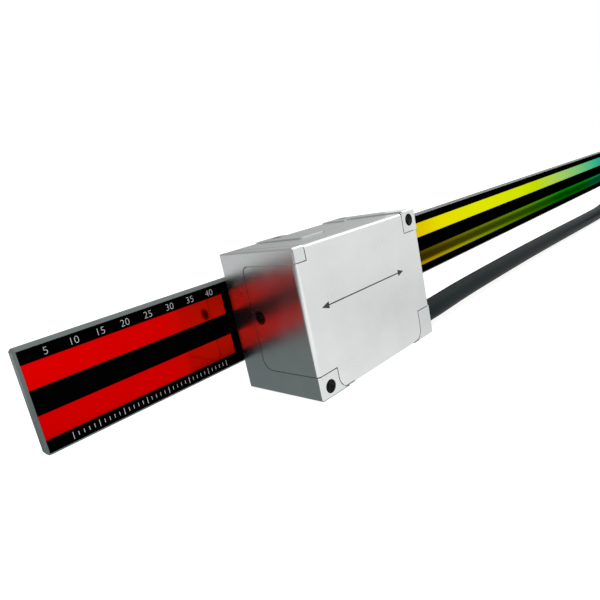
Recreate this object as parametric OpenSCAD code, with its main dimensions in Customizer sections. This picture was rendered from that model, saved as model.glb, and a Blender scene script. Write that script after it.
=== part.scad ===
// Exposed linear encoder: a glass scale with two grating tracks, the scanning head that runs
// along it across an air gap, and the head's cable, coiled for storage, with its round plug.
// Millimetres. X runs along the scale, Z runs across it, and its face looks along -Y.
// The origin is the middle of the scale's mounting face.

/* [Scale] */
// Length of the glass scale
scale_length = 450; // [400:10:600]
// Width of the glass scale
scale_width = 20; // [18:0.5:26]
// Thickness of the glass
glass_thickness = 3; // [2.5:0.1:5]
// Bevel ground along every edge of the glass
glass_bevel = 0.5; // [0.2:0.1:0.8]
// Thickness of the mask and the grating layers
coating = 0.1; // [0.08:0.01:0.2]
// Width of one grating track
track_width = 4.6; // [3.5:0.1:5.5]
// Distance between the middles of the two tracks
track_spacing = 9.4; // [8:0.1:10.5]
// Length of the plain strips before the measured tracks
lead_in_length = 43; // [20:1:60]
// Black break between the strips and the measured tracks
lead_in_gap = 2.5; // [1:0.1:5]
// Clear line between a track and the mask around it
track_clearance = 0.02; // [0.01:0.01:0.05]

/* [Scanning head] */
// Length of the head along the scale
head_length = 42.4; // [41:0.2:50]
// Depth of the head, from its front to its scanning face
head_depth = 23.6; // [22.5:0.1:28]
// Height of the head across the scale
head_height = 32; // [31:0.2:38]
// Middle of the head, from the scale's left end
head_place = 65.4; // [40:0.1:120]
// Air gap between the head and the scale's face
scanning_gap = 0.95; // [0.5:0.05:1.5]
// Height of the two mounting pads above the rest of the top
pad_height = 0.3; // [0.2:0.05:0.6]
// Sharp edges of the housing are broken by this much
edge_break = 0.3; // [0.1:0.05:0.4]
// Thickness of the housing's side walls
wall = 3; // [2.4:0.1:3.4]
// Thickness of the housing's back wall
back_wall = 5.2; // [4.6:0.1:6.5]

/* [Front cover] */
// Thickness of the bent sheet
sheet = 0.5; // [0.4:0.05:0.6]
// Outside radius of its four bends
bend_radius = 0.9; // [0.8:0.05:1.2]
// Groove left open between the sheet and the housing
cover_gap = 0.2; // [0.1:0.05:0.3]
// Depth of the side and bottom flaps
flap_depth = 16.4; // [14:0.2:18]
// Round of a flap's upper back corner
flap_round = 1.6; // [0.8:0.1:2.4]
// Round of a flap's lower back corner
flap_low_round = 2.6; // [1:0.1:3.4]
// Thickness of the gasket under the sheet
gasket_thickness = 0.3; // [0.2:0.05:0.4]

/* [Fastening] */
// Diameter of the two mounting holes through the head
mount_hole = 2.9; // [2.4:0.1:3.2]
// Upper mounting hole, in from the right side and down from the top
upper_hole = [3.0, 2.4];
// Lower mounting hole, in from the left side and up from the bottom
lower_hole = [2.9, 2.4];
// Tapping diameter of the two holes in the pads
pad_hole = 2.5; // [2:0.1:2.6]
// Depth of the holes in the pads
pad_hole_depth = 5; // [4:0.5:7]
// First pad hole, from the left side
pad_hole_place = 15; // [14:0.5:16]
// Distance between the two pad holes
pad_hole_spacing = 24; // [23:0.5:24.5]
// Distance of the pad holes from the back
pad_hole_inset = 3.2; // [2.4:0.1:4]
// Head diameter of the cover screws
cover_screw_head = 3.6; // [3:0.1:3.8]
// Thread diameter of the cover screws
cover_screw_thread = 1.9; // [1.6:0.1:2]
// Distance of the cover screws behind the front
cover_screw_depth = 14; // [12:0.1:14.4]
// Height of the cover screws above the bottom
cover_screw_height = 17.4; // [14:0.1:20]

/* [Optics] */
// Side of the scanning plate
reticle_side = 18.8; // [16:0.1:19.4]
// Thickness of the scanning plate
reticle_thickness = 1; // [0.8:0.05:1.2]
// Side of the window behind it
window_side = 15; // [12:0.1:15.4]
// Diameter of the condenser lens
lens_diameter = 12.4; // [10:0.1:13]
// Thickness of the circuit boards
board_thickness = 1; // [0.8:0.1:1.2]
// Length of the pillars between the boards
pillar_length = 2.6; // [2.2:0.1:3]

/* [Cable] */
// Diameter of the cable
cable_diameter = 5.5; // [4.5:0.1:5.6]
// Middle of the cable behind the head's front
cable_depth = 3.45; // [3.4:0.05:3.8]
// Middle of the cable above the head's bottom
cable_height = 4.3; // [4.2:0.1:4.8]
// Diameter of the stripped bundle of cores
bundle_diameter = 3.4; // [2.8:0.1:3.6]
// Outside diameter of the crimped ferrule
ferrule_diameter = 4.4; // [4.2:0.1:4.6]

/* [Plug] */
// Diameter of the plug's grip
grip_diameter = 13.6; // [12:0.1:14]
// Length of the plug's grip
grip_length = 26; // [20:1:32]
// Diameter of the knurled coupling ring
ring_diameter = 14.6; // [13.6:0.1:16]
// Outside diameter of the ring's thread
thread_diameter = 12; // [11.8:0.1:12.2]
// Bore of the ring around the pins
ring_bore = 9.8; // [9.6:0.1:10.2]
// Length of the tapered bend relief
relief_length = 14; // [10:1:20]
// Number of contact pins around the middle one
outer_pins = 7; // [4:1:7]

/* [Hidden] */
$fn = 64;
// Clearance of pieces that are pressed, bonded or screwed together
slack = 0.05;
// Clearance of pieces that drop into a seat
running_gap = 0.1;
// How far a cut reaches past the face that it opens
cut = 1;

// Head: x from its left side, y back from its front, z up from its bottom
head_left = head_place - scale_length / 2 - head_length / 2;
head_front = -glass_thickness - coating - scanning_gap - head_depth;
low_top = head_height - pad_height;
front_seat = sheet + gasket_thickness;
cavity_floor = head_depth - back_wall;
axis_x = head_length / 2;
axis_z = head_height / 2;

// Corner blocks that the cover leaves bare: width and height
block_ul = [3.1, 3];
block_ur = [5.7, 4.8];
block_ll = [5.6, 5.2];
block_lr = [5.2, 7.2];
// Round of the sheet's two lower corners, and where that round crosses the bend's edge
sheet_round = 3.2;
round_start = sheet_round - sqrt(pow(sheet_round, 2) - pow(sheet_round - bend_radius, 2));
// Wall kept around each corner block inside the housing
block_wall = 1.5;
// Solid corner that the cable enters
entry_block = [9.6, 10.4];
cavity_round = 1;

// Mounting pads on top: each lies around its hole
pad_width = 7.8;
pad_a_left = pad_hole_place - 4;
pad_a_depth = 15.2;
pad_b_left = pad_hole_place + pad_hole_spacing - 4.4;
pad_b_depth = 7.8;
rim_width = 5.2;
pad_round = 0.9;

// Six-lobed socket of the cover screws
cover_screw_socket = 1.9;

// Cable entry
jacket_length = 5;
channel_left = 9.4;
channel_half = cable_diameter / 2 - 0.15;
ferrule_length = 6;
ferrule_collar = 0.8;
ferrule_left = head_length - jacket_length - ferrule_length;

// Strap that holds the ferrule down in its channel
clamp_width = 3.6;
clamp_strap = 0.36;
clamp_left = head_length - jacket_length - ferrule_collar - clamp_width - 2 * running_gap;
clamp_front = cable_depth - ferrule_diameter / 2 - clamp_strap;
clamp_rise = 5.6;
clamp_screw_rise = 4.2;
clamp_top = cable_height + clamp_rise;
clamp_screw_z = cable_height + clamp_screw_rise;
clamp_thread = 1.3;

// Scanning unit: its boards lie behind the cover, and its carrier stands on the cavity's floor
board_front_space = 3.2;
signal_front = front_seat + board_front_space;
sensor_front = signal_front + board_thickness + pillar_length;
carrier_front = sensor_front + board_thickness;
carrier_height = cavity_floor - carrier_front;
carrier_rise = 21;
carrier_size = [2 * (axis_x - entry_block[0] - 0.6), carrier_rise];
carrier_round = 2;
ear_thickness = 3;
ear_screw = carrier_size[0] / 2 + 2;
ear_size = [2 * ear_screw + 4, 9];
carrier_thread = 1.9;
lens_edge = 1.2;
lens_crown = 1.2;
lens_seat = cavity_floor - 1.2;
lens_lip = 1;
lens_ring_height = 1.2;
signal_low = cable_height + ferrule_diameter / 2 + 0.2;
pillar_place = carrier_size / 2 - [2.4, 3.1];
pillar_diameter = 3;
board_screw_thread = 1.4;
board_round = 1;

// Scanning plate, bonded in its seat
bond = 0.2;
reticle_seat = reticle_thickness + 2 * bond;
reticle_round = 0.8;
window_round = 1.5;

// Parts on the boards
source_size = [4.6, 3.4];
source_flange = [5.4, 0.6];
detector = [2.4, 2.4, 0.6];
detector_place = 3.4;
chip_side = 7;
chip_leg_span = 8.4;
chip_leg_pitch = 0.5;
flex_width = 8;
small_part = [1.8, 0.7, 0.9];
large_part = [1.6, 1.1, 1.6];

// Wire plug, its socket and the cores
connector_left = axis_x - 5.6;
connector_low = 9;
connector_size = [8, 2.4, 2.6];
connector_wall = 0.6;
plug_drop = 1.8;
core_count = 6;
core_diameter = 0.62;
core_pitch = 0.66;
core_step = 1.2;
core_elbow = 0.8;

// Cable route: points from the head to the long coil, whose turns lie two by two
ground = -head_height / 2;
cable_y = head_front + cable_depth;
cable_z = ground + cable_height;
exit_x = head_left + head_length;
tie_thickness = 0.4;
lay_z = ground + tie_thickness + cable_diameter / 2;
straight_out = 6;
run_points = [
    [exit_x, cable_y, cable_z], [exit_x + straight_out, cable_y, cable_z],
    [-124, -23.9, -11.7], [-117, -23.6, -11.7], [-110, -23.4, -11.75],
    [-100, -23.3, -11.8], [-85, -23.2, -11.9], [-70, -23.2, -12], [-55, -23.3, -12.15],
    [-40, -23.5, -12.3], [-25, -23.8, -12.45], [-10, -24.1, -12.6], [5, -24.4, -12.7],
    [18, -24.3, -12.8], [30, -23.3, lay_z], [41, -21.9, lay_z], [50, -21.2, lay_z]
];
coil_left = 62;
coil_straight = 56;
coil_back = -21;
coil_inner = 17;
coil_outer = coil_inner + cable_diameter + running_gap;
coil_height = 2 * cable_diameter + running_gap;
tail_points = [
    [128, -21, -7.4], [138, -21, -7.85], [147, -21, -8.4], [154, -21, -8.6], [160, -21, -8.6]
];
tie_width = 5;
tie_buckle = [6.2, 6, 1.4];

// Plug, measured from the thick end of the tail
plug_start = tail_points[len(tail_points) - 1];
grip_start = relief_length;
neck_start = grip_start + grip_length;
neck_length = 4.2;
neck_diameter = 10;
lip_diameter = 11.4;
lip_length = 1.2;
relief_start = cable_diameter + 1.8;
relief_end = cable_diameter + 4.2;
relief_slots = 4;
relief_slot = 1.1;
grip_flutes = 12;
flute_start = 6;
flute_end = 4;
ring_start = neck_start + 0.3;
ring_length = 14;
knurl_length = 7.5;
knurls = 24;
insert_length = 4.4;
insert_diameter = ring_bore - 0.6;
seal_section = 1;
seal_place = 1.6;
seal_radius = insert_diameter / 2 - seal_section / 2;
pin_diameter = 0.8;
pin_circle = 5.5;

// A ring of points around a point of the route, square to the way ahead
function ring_of(p, ahead, r, sides) =
    let (along = ahead / norm(ahead), side = cross(along, [0, 0, 1]))
    let (s = side / norm(side), u = cross(s, along))
    [for (k = [0:sides - 1]) p + r * (cos(360 * k / sides) * s + sin(360 * k / sides) * u)];

// A round tube swept along a list of points
module sweep(points, diameter, sides = 10) {
    last = len(points) - 1;
    rings = [for (i = [0:last])
        ring_of(points[i], points[min(i + 1, last)] - points[max(i - 1, 0)], diameter / 2, sides)];
    polyhedron(
        points = [for (r = rings) each r],
        faces = concat(
            [[for (k = [0:sides - 1]) k]],
            [for (i = [0:last - 1], k = [0:sides - 1])
                let (a = i * sides + k, b = i * sides + (k + 1) % sides)
                [a, a + sides, b + sides, b]],
            [[for (k = [sides - 1:-1:0]) last * sides + k]]
        )
    );
}

module beveled(w, h, c)
    polygon([[c, 0], [w - c, 0], [w, c], [w, h - c], [w - c, h], [c, h], [0, h - c], [0, c]]);

module rounded(w, h, r) {
    translate([r, 0]) square([w - 2 * r, h]);
    translate([0, r]) square([w, h - 2 * r]);
    for (x = [r, w - r], y = [r, h - r]) translate([x, y]) circle(r);
}

// The sliver outside a rounded corner at the origin, for a corner that points to -x, -y
module corner_sliver(r, extra = 0) difference() {
    translate([-extra, -extra]) square(r + extra);
    translate([r, r]) circle(r);
}

// Turn an outline to face along Y, along X, or leave it flat, at a depth and with a thickness
module facing(y, thickness)
    translate([0, y + thickness, 0]) rotate([90, 0, 0]) linear_extrude(thickness) children();
module across(x, thickness)
    translate([x, 0, 0]) rotate([90, 0, 90]) linear_extrude(thickness) children();

module in_head() translate([head_left, head_front, -head_height / 2]) children();
module at_optic_axis(y) translate([axis_x, y, axis_z]) rotate([-90, 0, 0]) children();

// ---- Scale ----

module glass_substrate() color("lightcyan", 0.6) {
    long = scale_length;
    intersection() {
        translate([-long / 2, 0, -scale_width / 2]) mirror([0, 1, 0])
            across(0, long) beveled(glass_thickness, scale_width, glass_bevel);
        translate([-long / 2, -glass_thickness, -scale_width / 2])
            facing(0, glass_thickness) beveled(long, scale_width, glass_bevel);
        translate([-long / 2, -glass_thickness, -scale_width / 2])
            linear_extrude(scale_width) beveled(long, glass_thickness, glass_bevel);
    }
}

// A strip of coating on the face: from its left end, with its length, height and middle
module strip(from, length, height, middle)
    translate([from - scale_length / 2, 0, middle - height / 2])
        facing(-glass_thickness - coating, coating) square([length, height]);

face_length = scale_length - 2 * glass_bevel;
measured_from = lead_in_length + lead_in_gap;
measured_length = scale_length - glass_bevel - measured_from;

module black_mask() color("black") difference() {
    strip(glass_bevel, face_length, scale_width - 2 * glass_bevel, 0);
    for (side = [-1, 1]) translate([0, -glass_thickness - coating - cut, 0]) {
        middle = side * track_spacing / 2;
        height = track_width + 2 * track_clearance;
        translate([glass_bevel - cut - scale_length / 2, 0, middle - height / 2])
            cube([lead_in_length - glass_bevel + cut + track_clearance, coating + 2 * cut, height]);
        translate([measured_from - track_clearance - scale_length / 2, 0, middle - height / 2])
            cube([measured_length + cut, coating + 2 * cut, height]);
    }
}

module grating_upper() color("crimson")
    strip(measured_from, measured_length, track_width, track_spacing / 2);
module grating_lower() color("crimson")
    strip(measured_from, measured_length, track_width, -track_spacing / 2);
module lead_in_strips() color("red")
    for (side = [-1, 1])
        strip(glass_bevel, lead_in_length - glass_bevel, track_width, side * track_spacing / 2);

// ---- Housing and cover ----

// Corner blocks as seen from the front, grown by a margin
module corner_blocks(margin) {
    translate([-cut, low_top - block_ul[1] - margin]) square([block_ul[0] + margin + cut, head_height]);
    translate([head_length - block_ur[0] - margin, low_top - block_ur[1] - margin])
        square([block_ur[0] + margin + cut, head_height]);
    translate([-cut, -cut]) square([block_ll[0] + margin + cut, block_ll[1] + margin + cut]);
    translate([head_length - block_lr[0] - margin, -cut])
        square([block_lr[0] + margin + cut, block_lr[1] + margin + cut]);
    for (side = [0, 1]) {
        inner = side == 0 ? block_ll[0] : head_length - block_lr[0];
        translate([inner, 0]) mirror([side, 0]) difference() {
            translate([-cut / 2, -cut]) square([sheet_round + cut / 2, sheet_round + cut]);
            translate([sheet_round, sheet_round]) circle(sheet_round - margin);
        }
    }
}

module face_outline(inset, margin) difference() {
    translate([inset, inset]) square([head_length - 2 * inset, low_top - 2 * inset]);
    corner_blocks(margin);
}

// The four flaps: each is drawn flat at the bottom of the head, then turned to its side
left_span = [block_ll[1], low_top - block_ul[1]];
right_span = [block_lr[1], low_top - block_ur[1]];
top_span = [block_ul[0], head_length - block_ur[0]];
bottom_span = [block_ll[0] + sheet_round, head_length - block_lr[0] - sheet_round];
bottom_bend = [block_ll[0] + round_start, head_length - block_lr[0] - round_start];

module on_left() translate([0, 0, left_span[1]]) rotate([0, 90, 0]) children();
module on_right() translate([head_length, 0, right_span[0]]) rotate([0, -90, 0]) children();
module on_top() translate([top_span[1], 0, low_top]) rotate([0, 180, 0]) children();
module on_bottom() translate([bottom_span[0], 0, 0]) children();

// Outline of a side flap or of its seat, from the fold line back, with two far corners rounded
module flap_outline(span, margin, start, first_round, last_round) {
    length = span[1] - span[0];
    difference() {
        translate([margin, start]) square([length - 2 * margin, flap_depth - start - margin]);
        translate([margin, flap_depth - margin]) mirror([0, 1]) corner_sliver(first_round, cut);
        translate([length - margin, flap_depth - margin]) rotate(180) corner_sliver(last_round, cut);
    }
}

// The top flap runs to the back around the pads, drawn from its right end
module top_outline(margin, start) difference() {
    length = top_span[1] - top_span[0];
    translate([margin, start])
        square([length - 2 * margin, head_depth - start - 2 * margin + slack]);
    translate([top_span[1], 0]) mirror([1, 0]) pads_outline(margin);
}

// Raised pads as seen from above, grown by a margin
module pads_outline(margin) {
    front_a = head_depth - pad_a_depth;
    front_b = head_depth - pad_b_depth;
    translate([pad_a_left - margin, front_a - margin])
        difference() {
            square([pad_width + 2 * margin, pad_a_depth + 2 * margin + cut]);
            corner_sliver(pad_round, cut);
            translate([pad_width + 2 * margin, 0]) rotate(90) corner_sliver(pad_round, cut);
        }
    translate([pad_b_left - margin, front_b - margin])
        difference() {
            square([head_length - pad_b_left + margin + cut, pad_b_depth + margin + cut]);
            corner_sliver(pad_round, cut);
        }
    translate([head_length - rim_width - margin, -cut])
        square([rim_width + margin + cut, head_depth + 2 * cut]);
}

module cavity_outline() difference() {
    translate([wall, wall]) rounded(head_length - 2 * wall, low_top - 2 * wall, cavity_round);
    corner_blocks(block_wall);
    translate([head_length - entry_block[0], 0]) square(entry_block);
}

module head_solid(height) intersection() {
    facing(0, head_depth) beveled(head_length, height, edge_break);
    across(0, head_length) beveled(head_depth, height, edge_break);
    linear_extrude(height) beveled(head_length, head_depth, edge_break);
}

// A flap's seat reaches its thickness deep, and its fold edge is beveled clear of the bend
module flap_seat(span) {
    length = span[1] - span[0];
    translate([0, 0, -cut]) linear_extrude(cut + sheet) children();
    across(0, length) translate([front_seat, sheet])
        rotate(45) square(bend_radius - sheet, center = true);
}

// Room for the ends of the bottom bend, up to the sheet's rounded corners
module bend_ends() facing(0, bend_radius + slack) difference() {
    translate([bottom_bend[0], -cut]) square([bottom_bend[1] - bottom_bend[0], cut + sheet]);
    corner_blocks(0);
}

module cover_screw_hole() {
    cylinder(h = wall + cut, d = cover_screw_thread - 2 * running_gap);
    translate([0, 0, -slack]) cylinder(h = cover_screw_head / 2, d1 = cover_screw_head, d2 = 0);
}

// Places that hold one thing on each side of the head
module at_cover_screws() {
    translate([0, cover_screw_depth, cover_screw_height]) rotate([0, 90, 0]) children();
    translate([head_length, cover_screw_depth, cover_screw_height]) rotate([0, -90, 0]) children();
}
module at_ear_screws(y)
    for (side = [-1, 1]) translate([side * ear_screw, 0, 0]) at_optic_axis(y) children();
module at_pillars(y)
    for (x = [-1, 1] * pillar_place[0], z = [-1, 1] * pillar_place[1])
        translate([x, 0, z]) at_optic_axis(y) children();

module head_housing() color("silver") in_head() difference() {
    union() {
        head_solid(low_top);
        intersection() {
            head_solid(head_height);
            linear_extrude(head_height) pads_outline(0);
        }
    }
    translate([0, -cut, 0]) facing(0, cut + front_seat) face_outline(-cut, 0);
    on_left() flap_seat(left_span)
        flap_outline(left_span, 0, -cut, flap_round, flap_low_round);
    on_right() flap_seat(right_span)
        flap_outline(right_span, 0, -cut, flap_low_round, flap_round);
    on_bottom() flap_seat(bottom_span)
        flap_outline(bottom_span, 0, -cut, flap_round, flap_round);
    on_top() flap_seat(top_span) top_outline(0, -cut);
    bend_ends();
    facing(front_seat - slack, cavity_floor - front_seat + slack) cavity_outline();
    // Channel and bore for the cable
    facing(front_seat - slack, cable_depth + channel_half - front_seat) channel_outline();
    translate([head_length - jacket_length - slack, cable_depth, cable_height])
        rotate([0, 90, 0])
            cylinder(h = jacket_length + cut, d = cable_diameter + 2 * running_gap);
    clamp_seat();
    // Window and seat for the scanning plate
    facing(cavity_floor - cut, back_wall + 2 * cut) at_axis(window_side, window_round);
    facing(head_depth - reticle_seat, reticle_seat + cut)
        at_axis(reticle_side + 2 * running_gap, reticle_round + running_gap);
    // Screw and mounting holes
    at_ear_screws(cavity_floor - slack) cylinder(h = back_wall - 1.6, d = carrier_thread + running_gap);
    at_cover_screws() cover_screw_hole();
    for (place = [lower_hole, [head_length - upper_hole[0], head_height - upper_hole[1]]])
        translate([place[0], -cut, place[1]]) rotate([-90, 0, 0])
            cylinder(h = head_depth + 2 * cut, d = mount_hole);
    for (x = [pad_hole_place, pad_hole_place + pad_hole_spacing])
        translate([x, head_depth - pad_hole_inset, head_height - pad_hole_depth])
            cylinder(h = pad_hole_depth + cut, d = pad_hole);
}

// A quarter-round bend of the sheet along a fold line
module bend(from, length) across(from, length) intersection() {
    square(bend_radius);
    translate([bend_radius, bend_radius]) difference() {
        circle(bend_radius);
        circle(bend_radius - sheet);
    }
}

// A bend between two corner blocks, and the flat of its flap
module fold(span) {
    bend(cover_gap, span[1] - span[0] - 2 * cover_gap);
    linear_extrude(sheet) children();
}

module front_cover() color("gainsboro") in_head() difference() {
    union() {
        facing(0, sheet) face_outline(bend_radius, cover_gap);
        on_left() fold(left_span)
            flap_outline(left_span, cover_gap, bend_radius, flap_round, flap_low_round);
        on_right() fold(right_span)
            flap_outline(right_span, cover_gap, bend_radius, flap_low_round, flap_round);
        on_top() fold(top_span) top_outline(cover_gap, bend_radius);
        on_bottom() linear_extrude(sheet)
            flap_outline(bottom_span, cover_gap, bend_radius, flap_round, flap_round);
        difference() {
            bend(bottom_bend[0], bottom_bend[1] - bottom_bend[0]);
            facing(-cut, bend_radius + 2 * cut) corner_blocks(cover_gap);
        }
    }
    at_cover_screws() cover_screw_hole();
}

// Countersunk screw with a six-lobed socket, its head's face at z = 0
module countersunk(head, thread, length, socket) difference() {
    cone = (head - thread) / 2;
    union() {
        cylinder(h = cone, d1 = head - 2 * slack, d2 = thread - 2 * slack);
        cylinder(h = length, d = thread - 2 * running_gap - 2 * slack);
    }
    translate([0, 0, -cut]) linear_extrude(cut + cone * 0.8) {
        circle(d = socket * 0.72);
        for (k = [0:5]) rotate(60 * k) translate([socket * 0.36, 0]) circle(d = socket * 0.28);
    }
}

module cover_screw_left() color("dimgray") in_head()
    translate([0, cover_screw_depth, cover_screw_height]) rotate([0, 90, 0])
        countersunk(cover_screw_head, cover_screw_thread, wall, cover_screw_socket);
module cover_screw_right() color("dimgray") in_head()
    translate([head_length, cover_screw_depth, cover_screw_height]) rotate([0, -90, 0])
        countersunk(cover_screw_head, cover_screw_thread, wall, cover_screw_socket);

module cover_gasket() color("darkslategray") in_head()
    facing(sheet, gasket_thickness) difference() {
        face_outline(bend_radius + cover_gap, 2 * cover_gap);
        cavity_outline();
        channel_outline();
        clamp_outline(running_gap);
    }

// ---- Scanning unit ----

// A rounded square around the optical axis, as seen from the front
module at_axis(side, round)
    translate([axis_x - side / 2, axis_z - side / 2]) rounded(side, side, round);

module reticle_plate() color("paleturquoise", 0.7) in_head()
    facing(head_depth - bond - reticle_thickness, reticle_thickness)
        at_axis(reticle_side, reticle_round);

module reticle_bond() color("wheat") in_head()
    facing(head_depth - reticle_seat, bond) difference() {
        at_axis(reticle_side, reticle_round);
        at_axis(window_side, window_round);
    }

module optics_carrier() color("dimgray") in_head() difference() {
    union() {
        facing(carrier_front, carrier_height) translate([axis_x, axis_z] - carrier_size / 2)
            rounded(carrier_size[0], carrier_size[1], carrier_round);
        facing(cavity_floor - ear_thickness, ear_thickness)
            translate([axis_x, axis_z] - ear_size / 2)
                rounded(ear_size[0], ear_size[1], carrier_round);
    }
    at_optic_axis(carrier_front - cut)
        cylinder(h = lens_seat - carrier_front + cut, d = lens_diameter + 2 * running_gap);
    at_optic_axis(carrier_front)
        cylinder(h = carrier_height + cut, d = lens_diameter - 2 * lens_lip);
    at_ear_screws(cavity_floor - ear_thickness - cut)
        cylinder(h = ear_thickness + 2 * cut, d = carrier_thread + 3 * running_gap);
    at_pillars(carrier_front - cut) cylinder(h = 4 + cut, d = board_screw_thread);
}

module carrier_screws() color("lightgray") in_head()
    at_ear_screws(cavity_floor - ear_thickness) {
        difference() {
            translate([0, 0, -1.3]) cylinder(h = 1.3, d = 2 * carrier_thread);
            translate([0, 0, -1.3 - slack]) cylinder(h = 0.8, d = 1.6, $fn = 6);
        }
        cylinder(h = ear_thickness + back_wall - 2, d = carrier_thread);
    }

module condenser_lens() color("azure", 0.6) in_head() at_optic_axis(lens_seat - lens_edge) {
    crown = lens_diameter - 2 * lens_lip;
    crown_radius = (pow(crown / 2, 2) + pow(lens_crown, 2)) / (2 * lens_crown);
    cylinder(h = lens_edge, d = lens_diameter);
    intersection() {
        translate([0, 0, lens_edge + lens_crown - crown_radius]) sphere(crown_radius, $fn = 96);
        cylinder(h = lens_edge + lens_crown, d = crown);
    }
}

module lens_ring() color("darkgray") in_head()
    at_optic_axis(lens_seat - lens_edge - lens_ring_height) difference() {
        cylinder(h = lens_ring_height, d = lens_diameter + running_gap);
        translate([0, 0, -cut])
            cylinder(h = lens_ring_height + 2 * cut, d = lens_diameter - 2.4 * lens_lip);
        for (turn = [0, 90]) rotate(turn)
            translate([-lens_diameter, -0.5, -cut]) cube([2 * lens_diameter, 1, cut + 0.5]);
    }

module light_source() color("goldenrod") in_head() at_optic_axis(carrier_front) {
    cylinder(h = source_flange[1], d = source_flange[0]);
    difference() {
        cylinder(h = source_size[1], d = source_size[0]);
        translate([0, 0, source_size[1] - 0.4]) cylinder(h = cut, d = source_size[0] - 1.6);
    }
}

module detector_array() color("midnightblue") in_head() at_optic_axis(carrier_front)
    for (k = [0:3]) rotate(90 * k)
        translate([detector_place, -detector[1] / 2, 0]) cube(detector);

module board_holes()
    for (x = [-1, 1] * pillar_place[0], z = [-1, 1] * pillar_place[1])
        translate([axis_x + x, axis_z + z]) circle(d = board_screw_thread + 2 * running_gap);

module sensor_board() color("darkgreen") in_head()
    facing(sensor_front, board_thickness) difference() {
        translate([axis_x, axis_z] - carrier_size / 2)
            rounded(carrier_size[0], carrier_size[1], board_round);
        board_holes();
    }

module board_pillars() color("goldenrod") in_head()
    at_pillars(sensor_front - pillar_length) difference() {
        cylinder(h = pillar_length, d = pillar_diameter);
        translate([0, 0, -cut])
            cylinder(h = pillar_length + 2 * cut, d = board_screw_thread + 2 * running_gap);
    }

module signal_board() color("darkgreen") in_head()
    facing(signal_front, board_thickness) difference() {
        translate([axis_x - carrier_size[0] / 2, signal_low])
            rounded(carrier_size[0], axis_z + carrier_size[1] / 2 - signal_low, board_round);
        board_holes();
    }

module signal_chip() color("black") in_head() translate([axis_x + 1, signal_front, axis_z + 2]) {
    translate([-chip_side / 2, -1.2, -chip_side / 2]) cube([chip_side, 1, chip_side]);
    for (turn = [0, 90]) rotate([0, turn, 0])
        for (x = [chip_leg_pitch - chip_side / 2:chip_leg_pitch:chip_side / 2 - chip_leg_pitch])
            translate([x - 0.12, -0.4, -chip_leg_span / 2]) cube([0.24, 0.4, chip_leg_span]);
}

// Three rows of parts on the signal board: along its left edge, its top and its right edge
module board_components() color("tan") in_head() {
    half = carrier_size[0] / 2;
    for (k = [0:4]) translate([axis_x - half + 2.6, signal_front - small_part[1], axis_z - 3.6 + 1.7 * k])
        cube(small_part);
    for (k = [0:3])
        translate([axis_x - 2.6 + 2.1 * k, signal_front - small_part[1], axis_z + pillar_place[1]])
            cube([small_part[2], small_part[1], small_part[0]]);
    for (k = [0:2]) translate([axis_x + half - 3.4, signal_front - large_part[1], axis_z - 3.6 + 3 * k])
        cube(large_part);
}

module board_screws() color("lightgray") in_head() at_pillars(signal_front) {
    difference() {
        translate([0, 0, -0.9]) cylinder(h = 0.9, d = 2.6);
        translate([-0.2, -2, -0.9 - slack]) cube([0.4, 4, 0.4]);
    }
    cylinder(h = carrier_front - signal_front + 3.6, d = board_screw_thread - 2 * slack);
}

module flex_link() color("orange") in_head() {
    middle = (signal_front + sensor_front + board_thickness) / 2;
    loop = sensor_front + board_thickness / 2 - middle;
    translate([axis_x - carrier_size[0] / 2, middle, axis_z - flex_width / 2])
        linear_extrude(flex_width)
        intersection() {
            translate([-2 * loop, -2 * loop]) square([2 * loop, 4 * loop]);
            difference() {
                circle(loop + 0.1);
                circle(loop - 0.1);
            }
        }
}

// ---- Cable entry ----

module channel_outline()
    translate([channel_left, cable_height - channel_half])
        square([head_length - jacket_length - channel_left, 2 * channel_half]);

module board_connector() color("ivory") in_head()
    translate([connector_left, signal_front - connector_size[1], connector_low]) difference() {
        cube(connector_size);
        translate([connector_wall, connector_wall - 0.1, -cut])
            cube([connector_size[0] - 2 * connector_wall, connector_size[1] - 1, cut + 1.2]);
    }

module wire_plug() color("white") in_head()
    translate([connector_left, signal_front - connector_size[1], connector_low - plug_drop]) {
        inside = connector_wall + running_gap;
        translate([inside, connector_wall, 0])
            cube([connector_size[0] - 2 * inside, connector_size[1] - 1.2, plug_drop + 1.1]);
        translate([0.2, 0.2, 0])
            cube([connector_size[0] - 0.4, connector_size[1] - 0.6, plug_drop - running_gap]);
    }

module cable_cores() color("royalblue") in_head() translate([0, cable_depth, cable_height]) {
    end = head_length - jacket_length;
    translate([ferrule_left - 0.6, 0, 0]) rotate([0, 90, 0])
        cylinder(h = end - ferrule_left + 0.6, d = bundle_diameter);
    for (k = [0:core_count - 1]) {
        x = connector_left + 1 + core_step * k;
        z = (k - (core_count - 1) / 2) * core_pitch;
        rise = connector_low - plug_drop - cable_height - z - core_elbow;
        translate([x + core_elbow, signal_front - connector_size[1] / 2 - cable_depth - 0.15, z]) {
            rotate([0, 90, 0])
                cylinder(h = ferrule_left - 0.4 - x - core_elbow, d = core_diameter);
            translate([0, 0, core_elbow]) rotate([90, 0, 0]) rotate([0, 0, 180])
                rotate_extrude(angle = 90) translate([core_elbow, 0])
                    circle(d = core_diameter, $fn = 24);
            translate([-core_elbow, 0, core_elbow]) cylinder(h = rise, d = core_diameter);
        }
    }
}

module crimp_ferrule() color("gold") in_head() translate([ferrule_left, cable_depth, cable_height])
    rotate([0, 90, 0]) difference() {
        union() {
            cylinder(h = ferrule_length, d = ferrule_diameter);
            translate([0, 0, ferrule_length - ferrule_collar])
                cylinder(h = ferrule_collar, d = ferrule_diameter + 0.6);
        }
        translate([0, 0, -cut])
            cylinder(h = ferrule_length + 2 * cut, d = bundle_diameter + slack);
    }

module clamp_outline(margin)
    translate([clamp_left - margin, cable_height])
        square([clamp_width + 2 * margin, clamp_top + margin - cable_height]);

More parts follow.
